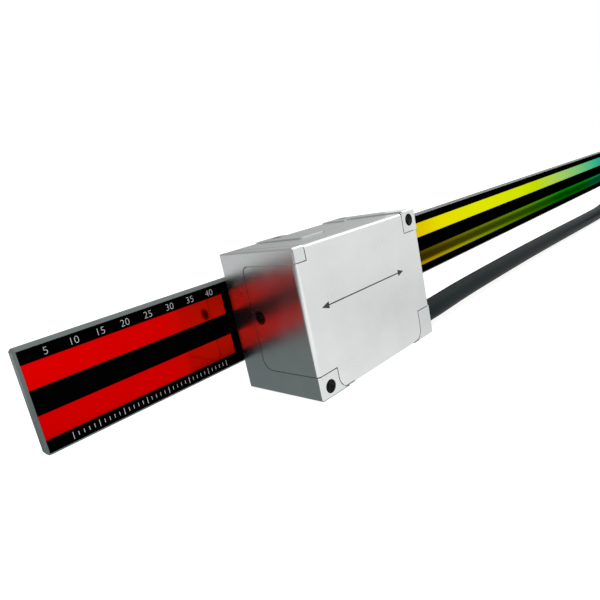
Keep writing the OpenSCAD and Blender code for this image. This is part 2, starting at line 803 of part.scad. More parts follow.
module at_clamp_screw(y) translate([clamp_left + clamp_width / 2, y, clamp_screw_z])
    rotate([-90, 0, 0]) children();

module clamp_seat() {
    facing(0, clamp_front + clamp_strap) clamp_outline(running_gap);
    at_clamp_screw(clamp_front) cylinder(h = 5, d = clamp_thread + running_gap);
}

module cable_clamp() color("lightsteelblue") in_head() difference() {
    union() {
        facing(clamp_front, clamp_strap) clamp_outline(0);
        across(clamp_left, clamp_width) intersection() {
            translate([clamp_front - cut, 0])
                square([cable_depth - clamp_front + cut, cable_height + slack]);
            translate([cable_depth, cable_height]) difference() {
                circle(ferrule_diameter / 2 + clamp_strap);
                circle(ferrule_diameter / 2);
            }
        }
    }
    at_clamp_screw(clamp_front - cut) cylinder(h = 2 * cut, d = clamp_thread + 2 * running_gap);
}

module clamp_screw() color("lightgray") in_head() at_clamp_screw(clamp_front) {
    translate([0, 0, -0.3]) cylinder(h = 0.3, d = 2.4);
    cylinder(h = 4.4, d = clamp_thread);
}

module cable_stub() color("dimgray") in_head()
    translate([head_length - jacket_length, cable_depth, cable_height]) rotate([0, 90, 0])
        cylinder(h = jacket_length, d = cable_diameter);

// ---- Free cable ----

module cable_run() color("dimgray") sweep(run_points, cable_diameter);

module coil_outline(radius) hull() for (x = [0, coil_straight]) translate([x, 0]) circle(radius);

module cable_coil() color("dimgray") {
    r = cable_diameter / 2;
    translate([coil_left, coil_back - coil_outer, ground + tie_thickness])
        linear_extrude(coil_height) difference() {
            coil_outline(coil_outer + r);
            coil_outline(coil_inner - r);
        }
}

// The tie holds the four runs at the back of the coil
module coil_tie() color("black") {
    r = cable_diameter / 2;
    t = tie_thickness;
    width = coil_outer - coil_inner + 2 * (r + slack);
    translate([coil_left + coil_straight / 2, coil_back + r + slack - width - t, ground]) {
        translate([-tie_width / 2, 0, 0]) rotate([90, 0, 90]) linear_extrude(tie_width)
            difference() {
                rounded(width + 2 * t, coil_height + 2 * t, r);
                translate([t, t]) rounded(width, coil_height, r - t);
            }
        translate([-tie_buckle[0] / 2, t + (width - tie_buckle[1]) / 2, coil_height + 2 * t - running_gap])
            cube(tie_buckle);
    }
}

module cable_tail() color("dimgray") sweep(tail_points, cable_diameter);

// ---- Plug ----

module along_plug(at) translate(plug_start + [at, 0, 0]) rotate([0, 90, 0]) children();

module bend_relief() color("dimgray") along_plug(0) difference() {
    cylinder(h = relief_length, d1 = relief_start, d2 = relief_end);
    for (k = [0:relief_slots - 1]) translate([0, 0, relief_length * (0.16 + 0.19 * k)])
        difference() {
            cylinder(h = relief_slot, d = 2 * relief_end);
            translate([0, 0, -cut]) cylinder(h = relief_slot + 2 * cut, d = cable_diameter + 1);
        }
}

module plug_grip() color("black") along_plug(grip_start) {
    r = grip_diameter / 2;
    difference() {
        rotate_extrude() polygon([
            [0, 0], [r - 2, 0], [r - 0.6, 1.4], [r, 4],
            [r, grip_length - 0.6], [r - 0.6, grip_length], [0, grip_length]
        ]);
        for (k = [0:grip_flutes - 1]) rotate(360 * k / grip_flutes) translate([r + 0.7, 0, flute_start])
            cylinder(h = grip_length - flute_start - flute_end, r = 1.3);
    }
    translate([0, 0, grip_length]) cylinder(h = neck_length, d = neck_diameter);
    translate([0, 0, grip_length + neck_length - lip_length])
        cylinder(h = lip_length, d = lip_diameter);
}

module plug_insert() color("darkslategray") along_plug(neck_start + neck_length) {
    difference() {
        cylinder(h = insert_length, d = insert_diameter);
        translate([0, 0, seal_place - seal_section / 2 - slack]) difference() {
            cylinder(h = seal_section + 2 * slack, d = insert_diameter + cut);
            translate([0, 0, -cut])
                cylinder(h = seal_section + 3 * cut, r = seal_radius - seal_section / 2 - slack);
        }
    }
    translate([3.2, -0.5, insert_length]) cube([1.2, 1, 2.4]);
}

module plug_pins() color("gold") along_plug(neck_start + neck_length + insert_length) {
    pin_length = ring_length - neck_length - insert_length - 0.8;
    for (k = [-1:outer_pins - 1])
        rotate(k * 360 / outer_pins + 20) translate([k < 0 ? 0 : pin_circle / 2, 0, 0]) {
            cylinder(h = pin_length - pin_diameter / 2, d = pin_diameter, $fn = 24);
            translate([0, 0, pin_length - pin_diameter / 2]) sphere(d = pin_diameter, $fn = 24);
        }
}

module plug_seal() color("firebrick") along_plug(neck_start + neck_length + seal_place)
    rotate_extrude() translate([seal_radius, 0]) circle(d = seal_section, $fn = 24);

// The ring turns on the neck, held by its lip
module coupling_nut() color("silver") along_plug(ring_start) difference() {
    union() {
        cylinder(h = knurl_length, d = ring_diameter);
        cylinder(h = ring_length - 0.6, d = thread_diameter);
        cylinder(h = ring_length, d = thread_diameter - 1.2);
    }
    lip_from = neck_start + neck_length - lip_length - ring_start;
    translate([0, 0, -cut]) cylinder(h = ring_length + 2 * cut, d = ring_bore);
    translate([0, 0, -cut])
        cylinder(h = lip_from + cut, d = neck_diameter + 2 * running_gap);
    translate([0, 0, lip_from - 2 * running_gap])
        cylinder(h = lip_length + 6 * running_gap, d = lip_diameter + 2 * running_gap);
    for (k = [0:knurls - 1]) rotate(360 * k / knurls)
        translate([ring_diameter / 2 + 0.35, 0, -cut])
            cylinder(h = knurl_length + cut - 0.8, d = 1.2, $fn = 16);
}

glass_substrate();
black_mask();
grating_upper();
grating_lower();
lead_in_strips();
head_housing();
front_cover();
cover_screw_left();
cover_screw_right();
cover_gasket();
reticle_plate();
reticle_bond();
optics_carrier();
carrier_screws();
condenser_lens();
lens_ring();
light_source();
detector_array();
sensor_board();
board_pillars();
signal_board();
signal_chip();
board_components();
board_screws();
flex_link();
board_connector();
wire_plug();
cable_cores();
crimp_ferrule();
cable_clamp();
clamp_screw();
cable_stub();
cable_run();
cable_coil();
coil_tie();
cable_tail();
bend_relief();
plug_grip();
plug_insert();
plug_pins();
plug_seal();
coupling_nut();
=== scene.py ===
# Exposed linear encoder in its finishes: a glass scale with two diffracting tracks, the satin
# metal scanning head that runs along it, and the head's dark cable with its round plug.
import math

import bpy
from mathutils import Euler, Matrix, Vector


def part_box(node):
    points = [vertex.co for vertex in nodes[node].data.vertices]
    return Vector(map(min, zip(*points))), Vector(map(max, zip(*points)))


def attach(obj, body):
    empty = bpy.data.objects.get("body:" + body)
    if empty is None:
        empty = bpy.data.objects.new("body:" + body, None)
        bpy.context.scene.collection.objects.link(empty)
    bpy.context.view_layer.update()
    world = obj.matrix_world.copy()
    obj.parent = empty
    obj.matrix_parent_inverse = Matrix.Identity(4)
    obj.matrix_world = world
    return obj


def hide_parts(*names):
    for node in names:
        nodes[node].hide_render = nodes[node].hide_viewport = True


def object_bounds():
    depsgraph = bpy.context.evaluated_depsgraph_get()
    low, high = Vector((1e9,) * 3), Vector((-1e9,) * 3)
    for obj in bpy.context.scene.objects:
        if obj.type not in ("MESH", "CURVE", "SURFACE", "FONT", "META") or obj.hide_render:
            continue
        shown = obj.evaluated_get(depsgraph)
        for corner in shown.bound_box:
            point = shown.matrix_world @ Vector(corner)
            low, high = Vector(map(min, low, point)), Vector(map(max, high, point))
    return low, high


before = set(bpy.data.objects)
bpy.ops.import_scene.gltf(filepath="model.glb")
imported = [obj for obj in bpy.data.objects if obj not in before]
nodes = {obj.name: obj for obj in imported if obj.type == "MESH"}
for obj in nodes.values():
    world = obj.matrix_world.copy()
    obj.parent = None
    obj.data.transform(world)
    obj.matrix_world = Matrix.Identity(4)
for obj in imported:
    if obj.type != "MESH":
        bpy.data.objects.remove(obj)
cad_low, cad_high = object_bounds()


# Camera: close to the scale's left end, a little above it, and rolled, so that the scale runs
# away to the upper right.
MM = 0.001
camera = bpy.data.objects.new("camera", bpy.data.cameras.new("camera"))
bpy.context.scene.collection.objects.link(camera)
camera.location = Vector((-244.568, -96.604, 26.271)) * MM
camera.rotation_euler = Euler([math.radians(turn) for turn in (77.3722, 11.7069, -45.1163)], "XYZ")
camera.data.sensor_width = 36
camera.data.lens = 30.187
camera.data.clip_start = 0.005
camera.data.clip_end = 20
bpy.context.scene.camera = camera
bpy.context.scene.view_settings.view_transform = "Standard"


# Studio: white paper as floor and background, with painted shade and light that only mirrors see, a pale
# room that darkens towards the back left, and a weak softbox at the upper right. Four cards serve
# reflections alone: a white one and a dark strip stand behind the cable, the strip a painted reflection
# of the cable, and two dark ones lie and stand by the head's left end.
def linear(colour):
    """Linear RGBA of an sRGB colour such as D8DAD9."""
    parts = [int(colour[i:i + 2], 16) / 255 for i in (0, 2, 4)]
    return [p / 12.92 if p <= 0.04045 else ((p + 0.055) / 1.055) ** 2.4 for p in parts] + [1.0]


def add(tree, kind, inputs=None, **settings):
    """Adds a node: its settings by name, and each input as a value or as the socket it comes from."""
    made = tree.nodes.new(kind)
    for name, value in settings.items():
        setattr(made, name, value)
    for socket, value in (inputs or {}).items():
        if isinstance(value, bpy.types.NodeSocket):
            tree.links.new(value, made.inputs[socket])
        else:
            made.inputs[socket].default_value = value
    return made


def finish(name, shader=None):
    """A new material, its tree, its object coordinates, and its Principled shader or its output."""
    material = bpy.data.materials.new(name)
    material.use_nodes = True
    tree = material.node_tree
    tree.nodes.clear()
    place = add(tree, "ShaderNodeTexCoord").outputs["Object"]
    end = add(tree, "ShaderNodeOutputMaterial")
    if shader is None:
        return material, tree, place, end
    made = add(tree, "ShaderNodeBsdfPrincipled", shader)
    tree.links.new(made.outputs[0], end.inputs[0])
    return material, tree, place, made


def stand(name, material, low, high):
    """A flat stage piece, lying or standing along X, between two opposite corners in millimetres."""
    (left, near, bottom), (right, far, top) = low, high
    corners = (left, near, bottom), (right, near, bottom), (right, far, top), (left, far, top)
    mesh = bpy.data.meshes.new(name)
    mesh.from_pydata([Vector(corner) * MM for corner in corners], [], [(0, 1, 2, 3)])
    mesh.materials.append(material)
    piece = bpy.data.objects.new(name, mesh)
    bpy.context.scene.collection.objects.link(piece)
    return piece


PALE_SIDE = (0.267, -0.325, 0.0)
DARKEST, PALEST = 0.38, 0.92
world = bpy.data.worlds.new("studio")
bpy.context.scene.world = world
world.use_nodes = True
room = world.node_tree
room.nodes.clear()
rays = add(room, "ShaderNodeLightPath").outputs
looking = add(room, "ShaderNodeTexCoord").outputs["Generated"]
lean = add(room, "ShaderNodeVectorMath", {0: looking, 1: PALE_SIDE}, operation="DOT_PRODUCT")
# In every Map Range, inputs 1 and 2 are the range that comes in, and 3 and 4 the one that goes out.
tone = add(room, "ShaderNodeMapRange", {
    0: lean.outputs["Value"], 1: -0.13, 2: 0.41, 3: DARKEST, 4: PALEST})
walls = add(room, "ShaderNodeBackground", {"Color": linear("FFFFFF"), "Strength": tone.outputs[0]})
paper = add(room, "ShaderNodeBackground", {"Color": linear("FFFFFF"), "Strength": 1.0})
clear = add(room, "ShaderNodeMath", {0: rays["Is Camera Ray"], 1: rays["Is Transmission Ray"]},
            operation="MAXIMUM")
mixed = add(room, "ShaderNodeMixShader", {0: clear.outputs[0], 1: walls.outputs[0], 2: paper.outputs[0]})
add(room, "ShaderNodeOutputWorld", {0: mixed.outputs[0]})

# The paper is white to the eye. Mirrors see painted shade and light on it instead: dark behind the scale
# and darkest close to it, paler towards the left, and nearly black in front of the scale past its left end.
NEAR_EDGE, FAR_EDGE = -0.15, 0.45
PAINTED_MIRROR_TONES_BY_Y = ((-0.1, 1.0), (-0.04, 0.82), (-0.004, 0.82), (0.004, 0.2), (0.045, 0.2), (0.075, 0.5),
              (0.4, 0.55))
WHITENING = 0.8
sheet_paper, tree, place, end = finish("white background paper with painted mirror shade")
rays = add(tree, "ShaderNodeLightPath").outputs
spot = add(tree, "ShaderNodeSeparateXYZ", {0: place}).outputs
depth = add(tree, "ShaderNodeMapRange", {0: spot["Y"], 1: NEAR_EDGE, 2: FAR_EDGE})
shade = add(tree, "ShaderNodeValToRGB", {0: depth.outputs[0]})
stops = shade.color_ramp.elements
for number, (metres, level) in enumerate(PAINTED_MIRROR_TONES_BY_Y):
    stop = stops[number] if number < 2 else stops.new(1.0)
    stop.position = (metres - NEAR_EDGE) / (FAR_EDGE - NEAR_EDGE)
    stop.color = (level, level, level, 1)
# Painted light for mirrors: brighter than white towards the left, and dark past the scale's left end.
paler_left = add(tree, "ShaderNodeMapRange", {0: spot["X"], 1: -0.2, 2: -0.12, 3: 1.26, 4: 0.92})
past_end = add(tree, "ShaderNodeMapRange", {0: spot["X"], 1: -0.31, 2: -0.24, 3: 0.04})
past_line = add(tree, "ShaderNodeMapRange", {0: spot["Y"], 1: 0.0, 2: 0.01})
open_floor = add(tree, "ShaderNodeMath", {0: past_end.outputs[0], 1: past_line.outputs[0]},
                 operation="MAXIMUM")
dimmed = add(tree, "ShaderNodeMath", {0: paler_left.outputs[0], 1: open_floor.outputs[0]},
             operation="MULTIPLY")
mirrored = add(tree, "ShaderNodeEmission", {"Color": shade.outputs[0], "Strength": dimmed.outputs[0]})
matt = add(tree, "ShaderNodeBsdfDiffuse", {"Color": linear("EFEFEF")})
clear = add(tree, "ShaderNodeMath", {0: rays["Is Camera Ray"], 1: rays["Is Transmission Ray"]},
            operation="MAXIMUM")
glow = add(tree, "ShaderNodeMath", {0: clear.outputs[0], 1: WHITENING}, operation="MULTIPLY")
lift = add(tree, "ShaderNodeEmission", {"Strength": glow.outputs[0]})
lit = add(tree, "ShaderNodeAddShader", {0: matt.outputs[0], 1: lift.outputs[0]})
both = add(tree, "ShaderNodeMixShader", {
    0: rays["Is Glossy Ray"], 1: lit.outputs[0], 2: mirrored.outputs[0]})
tree.links.new(both.outputs[0], end.inputs[0])
ground, reach = cad_low.z / MM - 0.1, 4000
stand("floor", sheet_paper, (-reach, -reach, ground), (reach, reach, ground))

card_white, tree, _, end = finish("white reflector card")
glow = add(tree, "ShaderNodeEmission", {"Strength": 0.93})
tree.links.new(glow.outputs[0], end.inputs[0])
card_dark, tree, _, end = finish("dark flag card")
glow = add(tree, "ShaderNodeEmission", {"Color": linear("EEFFFE"), "Strength": 0.18})
tree.links.new(glow.outputs[0], end.inputs[0])

# The strip is a painted reflection of the cable for the lower track: dark, with painted pale edges.
# Its tone is the sum of an upper edge, a lower edge, and a ground that darkens downwards.
# Each has its heights of full and no strength, and its tones near the head and away from it.
CABLE_REFLECTION_TONES = ((-6.2, -6.8, 0.05, 0.24), (-9.7, -9.0, 0.48, 0.08), (0.0, -30.0, 0.05, 0.1))
painted_cable_reflection_card, tree, place, end = finish("painted cable reflection with pale edges")
spot = add(tree, "ShaderNodeSeparateXYZ", {0: place}).outputs
total = 0.0
for full, none, near, away in CABLE_REFLECTION_TONES:
    part = add(tree, "ShaderNodeMapRange", {0: spot["Z"], 1: none * MM, 2: full * MM})
    strength = add(tree, "ShaderNodeMapRange", {0: spot["X"], 1: -0.09, 2: 0.02, 3: near, 4: away})
    total = add(tree, "ShaderNodeMath", {0: part.outputs[0], 1: strength.outputs[0], 2: total},
                operation="MULTIPLY_ADD").outputs[0]
glow = add(tree, "ShaderNodeEmission", {"Strength": total})
tree.links.new(glow.outputs[0], end.inputs[0])

for card in (stand("reflector", card_white, (-130, -13, -1), (225, -13, 30)),
             stand("strip", painted_cable_reflection_card, (-130, -13, -12.5), (225, -13, -1)),
             stand("flag", card_dark, (-330, -28, -16.05), (-170, 35, -16.05)),
             stand("upright_flag", card_dark, (-330, 4, -15.9), (-170, 4, -9.8))):
    card.visible_camera = card.visible_diffuse = card.visible_shadow = card.visible_transmission = False

softbox = bpy.data.objects.new("softbox", bpy.data.lights.new("softbox", "AREA"))
softbox.data.shape = "SQUARE"
softbox.data.size = 0.4
softbox.data.energy = 0.5
softbox.location = Vector((340, -200, 430)) * MM
aim = Vector((-160, -20, 0)) * MM
softbox.rotation_euler = (aim - softbox.location).to_track_quat("-Z", "Y").to_euler()
bpy.context.scene.collection.objects.link(softbox)


# Glass scale: float glass, cut, with its long edges and ends ground. The faces are clear with a
# faint grey-green cast, and the ground bevels are frosted, so they read as a pale satin line.
def dress(material, *names):
    """Gives nodes of the frame their finish."""
    for name in names:
        nodes[name].data.materials.clear()
        nodes[name].data.materials.append(material)


glass_low, glass_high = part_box("glass_substrate")
GROUND_EDGE, BLEND = 0.6 * MM, 0.2 * MM
glass, tree, place, shell = finish("float glass with ground edges", {
    "Base Color": linear("8A9695"), "Transmission Weight": 1.0, "IOR": 1.52})
off = add(tree, "ShaderNodeVectorMath", {0: place}, operation="ABSOLUTE")
clear_half = (glass_high.x - GROUND_EDGE, 1.0, glass_high.z - GROUND_EDGE)
past = add(tree, "ShaderNodeVectorMath", {0: off.outputs[0], 1: clear_half}, operation="SUBTRACT")
sides = add(tree, "ShaderNodeSeparateXYZ", {0: past.outputs[0]}).outputs
outer_edge = add(tree, "ShaderNodeMath", {0: sides["X"], 1: sides["Z"]}, operation="MAXIMUM")
for socket, clear_face, ground_face in (("Roughness", 0.03, 0.35), ("Transmission Weight", 1.0, 0.3)):
    frosting = add(tree, "ShaderNodeMapRange", {
        0: outer_edge.outputs[0], 1: 0.0, 2: BLEND, 3: clear_face, 4: ground_face})
    tree.links.new(frosting.outputs[0], shell.inputs[socket])
# The grit of the grinding is finer than this on the real glass, and is drawn coarse enough to show.
grit = add(tree, "ShaderNodeTexNoise", {"Vector": place, "Scale": 1 / (0.4 * MM), "Detail": 2.0})
bump = add(tree, "ShaderNodeBump", {"Height": grit.outputs[0], "Strength": 0.02, "Distance": 0.01 * MM})
tree.links.new(bump.outputs[0], shell.inputs["Normal"])
dress(glass, "glass_substrate")


# Tracks: a phase grating on a reflecting layer. It splits the light into colours that change with the angle
# of view, and these are painted here as fixed colours along the scale, a painted reflection: red near
# the left end, then yellow, green and teal. The lower track is seen at a steeper angle, where its greens
# are deeper, so it has its own painted colours.
SCALE_LENGTH = 450 * MM
REDS = ((0, "C60000"), (26, "CB0000"), (37, "BC1000"), (46, "B41400"), (95, "D87A00"))
UPPER = ((139, "EEE600"), (170, "EAEF00"), (209, "E1EE00"), (259, "C0DF8E"), (290, "A0D8A0"),
         (317, "7DD0B2"), (380, "4F9FC8"), (450, "6A60B8"))
LOWER = ((135, "EDD000"), (150, "EDE900"), (170, "D9ED00"), (190, "C2ED00"), (210, "AAED00"),
         (235, "84ED00"), (260, "60E000"), (290, "10E060"), (315, "00E0A0"), (380, "10B0C0"),
         (450, "5A58B8"))
for name, colours, tracks in (
        ("reflecting phase grating", UPPER, ("grating_upper", "lead_in_strips")),
        ("reflecting phase grating, lower track", LOWER, ("grating_lower",))):
    grating, tree, place, mirror = finish(name, {"Metallic": 1.0, "Roughness": 0.1})
    along = add(tree, "ShaderNodeSeparateXYZ", {0: place}).outputs["X"]
    share = add(tree, "ShaderNodeMapRange", {0: along, 1: glass_low.x, 2: glass_low.x + SCALE_LENGTH})
    painted_diffraction_colours = add(tree, "ShaderNodeValToRGB", {0: share.outputs[0]})
    stops = painted_diffraction_colours.color_ramp.elements
    for number, (millimetres, colour) in enumerate(REDS + colours):
        stop = stops[number] if number < 2 else stops.new(1.0)
        stop.position = millimetres * MM / SCALE_LENGTH
        stop.color = linear(colour)
    # Painted diffraction colours, set by place along the scale in place of the angle of view.
    for socket in ("Base Color", "Specular Tint"):
        tree.links.new(painted_diffraction_colours.outputs[0], mirror.inputs[socket])
    dress(grating, *tracks)


# Mask: a film of black chromium, sputtered on the glass. It is opaque and deep black, and nearly
# mirror smooth, with a faint haze.
mask, tree, place, coat = finish("black chromium mask", {
    "Base Color": linear("020202"), "Metallic": 1.0, "Specular Tint": (0, 0, 0, 1)})
haze = add(tree, "ShaderNodeTexNoise", {"Vector": place, "Scale": 1 / (6 * MM)})
dull = add(tree, "ShaderNodeMapRange", {0: haze.outputs[0], 3: 0.16, 4: 0.24})
tree.links.new(dull.outputs[0], coat.inputs["Roughness"])
dress(mask, "black_mask")


# Ruling and figures: etched clear in the mask along the lead-in, a line for each millimetre in
# the lower margin and a figure for every fifth in the upper one. They read as a worn pale grey.
etched, tree, place, mark = finish("etched clear line", {"Roughness": 0.4})
speck = add(tree, "ShaderNodeTexNoise", {"Vector": place, "Scale": 1 / (0.2 * MM)})
wear = add(tree, "ShaderNodeMapRange", {0: speck.outputs[0], 1: 0.35, 2: 0.65, 3: 0.55, 4: 0.85}).outputs[0]
grey = add(tree, "ShaderNodeCombineColor", {0: wear, 1: wear, 2: wear})
tree.links.new(grey.outputs[0], mark.inputs["Base Color"])

LINE_DEPTH, GROWTH_OF_FIFTH = 0.02 * MM, 0.8
ruling = bpy.data.node_groups.new("millimetre ruling", "GeometryNodeTree")
sockets = {}
for label, kind in (
        ("Lines", "Int"), ("Pitch", "Float"), ("Line width", "Float"), ("Line height", "Float")):
    sockets[label] = ruling.interface.new_socket(
        name=label, in_out="INPUT", socket_type="NodeSocket" + kind)
ruling.interface.new_socket(name="Geometry", in_out="OUTPUT", socket_type="NodeSocketGeometry")
given = add(ruling, "NodeGroupInput").outputs
step = add(ruling, "ShaderNodeCombineXYZ", {0: given["Pitch"]})
row = add(ruling, "GeometryNodeMeshLine", {"Count": given["Lines"], "Offset": step.outputs[0]})
bar_size = add(ruling, "ShaderNodeCombineXYZ", {
    0: given["Line width"], 1: LINE_DEPTH, 2: given["Line height"]})
bar = add(ruling, "GeometryNodeMeshCube", {0: bar_size.outputs[0]})
count = add(ruling, "GeometryNodeInputIndex").outputs[0]
rest = add(ruling, "ShaderNodeMath", {0: count, 1: 5.0}, operation="MODULO")
fifth = add(ruling, "FunctionNodeCompare", {2: rest.outputs[0], 3: 0}, data_type="INT", operation="EQUAL")
grow = add(ruling, "ShaderNodeMath", {0: fifth.outputs[0], 1: GROWTH_OF_FIFTH, 2: 1.0},
           operation="MULTIPLY_ADD")
tall = add(ruling, "ShaderNodeCombineXYZ", {0: 1.0, 1: 1.0, 2: grow.outputs[0]})
lines = add(ruling, "GeometryNodeInstanceOnPoints", {
    "Points": row.outputs[0], "Instance": bar.outputs[0], "Scale": tall.outputs[0]})
solid = add(ruling, "GeometryNodeRealizeInstances", {0: lines.outputs[0]})
painted = add(ruling, "GeometryNodeSetMaterial", {"Geometry": solid.outputs[0], "Material": etched})
add(ruling, "NodeGroupOutput", {0: painted.outputs[0]})


def settle(source, name, matrix):
    """The evaluated shape of an object as a plain etched mesh object, with its place in its mesh."""
    mesh = bpy.data.meshes.new_from_object(source.evaluated_get(bpy.context.evaluated_depsgraph_get()))
    bpy.data.objects.remove(source)
    mesh.transform(matrix)
    mesh.name = name
    mesh.materials.clear()
    mesh.materials.append(etched)
    piece = bpy.data.objects.new(name, mesh)
    bpy.context.scene.collection.objects.link(piece)
    return piece


bare = bpy.data.objects.new("bare", bpy.data.meshes.new("bare"))
bpy.context.scene.collection.objects.link(bare)
maker = bare.modifiers.new("ruling", "NODES")
maker.node_group = ruling
for label, value in (
        ("Lines", 36), ("Pitch", 1 * MM), ("Line width", 0.13 * MM), ("Line height", 0.75 * MM)):
    maker[sockets[label].identifier] = value
FIRST_LINE, RULING_HEIGHT, FIGURE_FOOT = 5 * MM, -8.3 * MM, 7.5 * MM
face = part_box("black_mask")[0].y
ruled = settle(bare, "scale_ruling", Matrix.Translation((glass_low.x + FIRST_LINE, face, RULING_HEIGHT)))
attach(ruled, "scale")

FIGURE_SIZE, STROKE_THINNED, FIGURE_DEPTH = 2.0 * MM, 0.035 * MM, 0.01 * MM
for millimetres in range(5, 45, 5):
    text = bpy.data.curves.new("figure", "FONT")
    text.body = str(millimetres)
    text.size = FIGURE_SIZE
    text.offset = -STROKE_THINNED
    text.extrude = FIGURE_DEPTH
    text.align_x = "CENTER"
    figure = bpy.data.objects.new("figure", text)
    bpy.context.scene.collection.objects.link(figure)
    foot = Matrix.Translation((glass_low.x + millimetres * MM, face, FIGURE_FOOT))
    upright = foot @ Matrix.Rotation(math.pi / 2, 4, "X")
    figure = settle(figure, "scale_figure_%d" % millimetres, upright)
    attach(figure, "scale")


# Housing: milled from aluminium, bead blasted and nickel plated. It is a pale satin metal with a
# fine grain, and faint milling streaks run from front to back on its top.
def satin(name, colours, roughness, streaks):
    """A satin metal: fine blasted grain, cloudy patches, and streaks along Y of a given strength."""
    material, tree, place, metal = finish(name, {"Metallic": 1.0})
    # A blasted grain is finer, about 0.1 mm. It is drawn as coarse as it needs to show.
    grain_size, cloud_size, streak_width, streak_length = 0.8 * MM, 6 * MM, 0.5 * MM, 14 * MM
    grain = add(tree, "ShaderNodeTexNoise", {"Vector": place, "Scale": 1 / grain_size, "Detail": 2.0})
    cloud = add(tree, "ShaderNodeTexNoise", {"Vector": place, "Scale": 1 / cloud_size, "Detail": 3.0})
    drawn = add(tree, "ShaderNodeMapping", {
        0: place, 3: (1 / streak_width, 1 / streak_length, 1 / streak_width)})
    streak = add(tree, "ShaderNodeTexNoise", {"Vector": drawn.outputs[0], "Scale": 1.0, "Detail": 2.0})
    bright = add(tree, "ShaderNodeMapRange", {0: cloud.outputs[0], 1: 0.1, 2: 0.9})
    pale = add(tree, "ShaderNodeMix", {0: bright.outputs[0], 6: linear(colours[0]), 7: linear(colours[1])},
               data_type="RGBA")
    tree.links.new(pale.outputs[2], metal.inputs["Base Color"])
    dull = add(tree, "ShaderNodeMapRange", {
        0: cloud.outputs[0], 1: 0.1, 2: 0.9, 3: roughness - 0.04, 4: roughness + 0.04})
    tree.links.new(dull.outputs[0], metal.inputs["Roughness"])
    relief = add(tree, "ShaderNodeMath", {0: streak.outputs[0], 1: streaks, 2: grain.outputs[0]},
                 operation="MULTIPLY_ADD")
    bump = add(tree, "ShaderNodeBump", {
        "Height": relief.outputs[0], "Strength": 0.04, "Distance": 0.02 * MM})
    tree.links.new(bump.outputs[0], metal.inputs["Normal"])
    return material


dress(satin("bead-blasted nickel-plated aluminium", ("DCE1E1", "EAEDEC"), 0.29, 1.5), "head_housing")


# Front cover: one sheet of stainless steel, bent on four sides, with a satin finish like the
# housing's but a little paler. Its front carries a laser-marked arrow, dark grey and matt, for the
# measuring direction.
dress(satin("satin stainless sheet", ("E0E4E3", "EFF1F0"), 0.29, 0.0), "front_cover")

marked, tree, place, ink = finish("laser-annealed mark", {"Base Color": linear("3E4243"), "Metallic": 0.4})
burn = add(tree, "ShaderNodeTexNoise", {"Vector": place, "Scale": 1 / (0.15 * MM)})
dull = add(tree, "ShaderNodeMapRange", {0: burn.outputs[0], 3: 0.42, 4: 0.58})
tree.links.new(dull.outputs[0], ink.inputs["Roughness"])
head_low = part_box("head_housing")[0]
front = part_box("front_cover")[0].y
from_x, to_x, at_z = head_low.x + 4.8 * MM, head_low.x + 33.8 * MM, head_low.z + 18.45 * MM
half, tip, wing, thick = 0.13 * MM, 2.2 * MM, 0.75 * MM, 0.015 * MM
outline = ((from_x, 0), (from_x + tip, -wing), (from_x + tip, -half), (to_x - tip, -half),
           (to_x - tip, -wing), (to_x, 0), (to_x - tip, wing), (to_x - tip, half), (from_x + tip, half),
           (from_x + tip, wing))
points = [(x, front - thick, at_z + z) for x, z in outline] + [(x, front, at_z + z) for x, z in outline]
around = len(outline)
faces = [tuple(range(around)), tuple(reversed(range(around, 2 * around)))]
faces += [((k + 1) % around, k, k + around, (k + 1) % around + around) for k in range(around)]
arrow_mesh = bpy.data.meshes.new("direction_arrow")
arrow_mesh.from_pydata(points, [], faces)
arrow_mesh.materials.append(marked)
arrow = bpy.data.objects.new("direction_arrow", arrow_mesh)
bpy.context.scene.collection.objects.link(arrow)
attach(arrow, "head")


# Cover screws: countersunk, six-lobed, of steel with a black oxide that is rubbed bright in specks. A
# pale ring painted around the rim is a painted highlight.
oxide, tree, place, steel = finish("black oxide steel", {"Metallic": 1.0, "Roughness": 0.3})
screw_low, screw_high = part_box("cover_screw_left")
axis, radius = (screw_low + screw_high) / 2, (screw_high.z - screw_low.z) / 2
flat = add(tree, "ShaderNodeVectorMath", {0: place, 1: (0, 1, 1)}, operation="MULTIPLY")
away = add(tree, "ShaderNodeVectorMath", {0: flat.outputs[0], 1: (0, axis.y, axis.z)},
           operation="DISTANCE")
# The pale ring around the rim is a painted highlight; the specks are wear.
painted_rim_highlight = add(tree, "ShaderNodeMapRange", {0: away.outputs["Value"], 1: 0.8 * radius, 2: 0.9 * radius})
rub = add(tree, "ShaderNodeTexNoise", {"Vector": place, "Scale": 1 / (0.4 * MM), "Detail": 3.0})
worn = add(tree, "ShaderNodeMapRange", {0: rub.outputs[0], 1: 0.5, 2: 0.75, 4: 0.4})
wear_and_painted_rim_highlight = add(tree, "ShaderNodeMath", {0: worn.outputs[0], 1: painted_rim_highlight.outputs[0]}, operation="MAXIMUM")
oxide_with_painted_rim_highlight = add(tree, "ShaderNodeMix", {0: wear_and_painted_rim_highlight.outputs[0], 6: linear("4A4A4B"), 7: linear("D8D9D8")},
                 data_type="RGBA")
tree.links.new(oxide_with_painted_rim_highlight.outputs[2], steel.inputs["Base Color"])
dress(oxide, "cover_screw_left", "cover_screw_right")


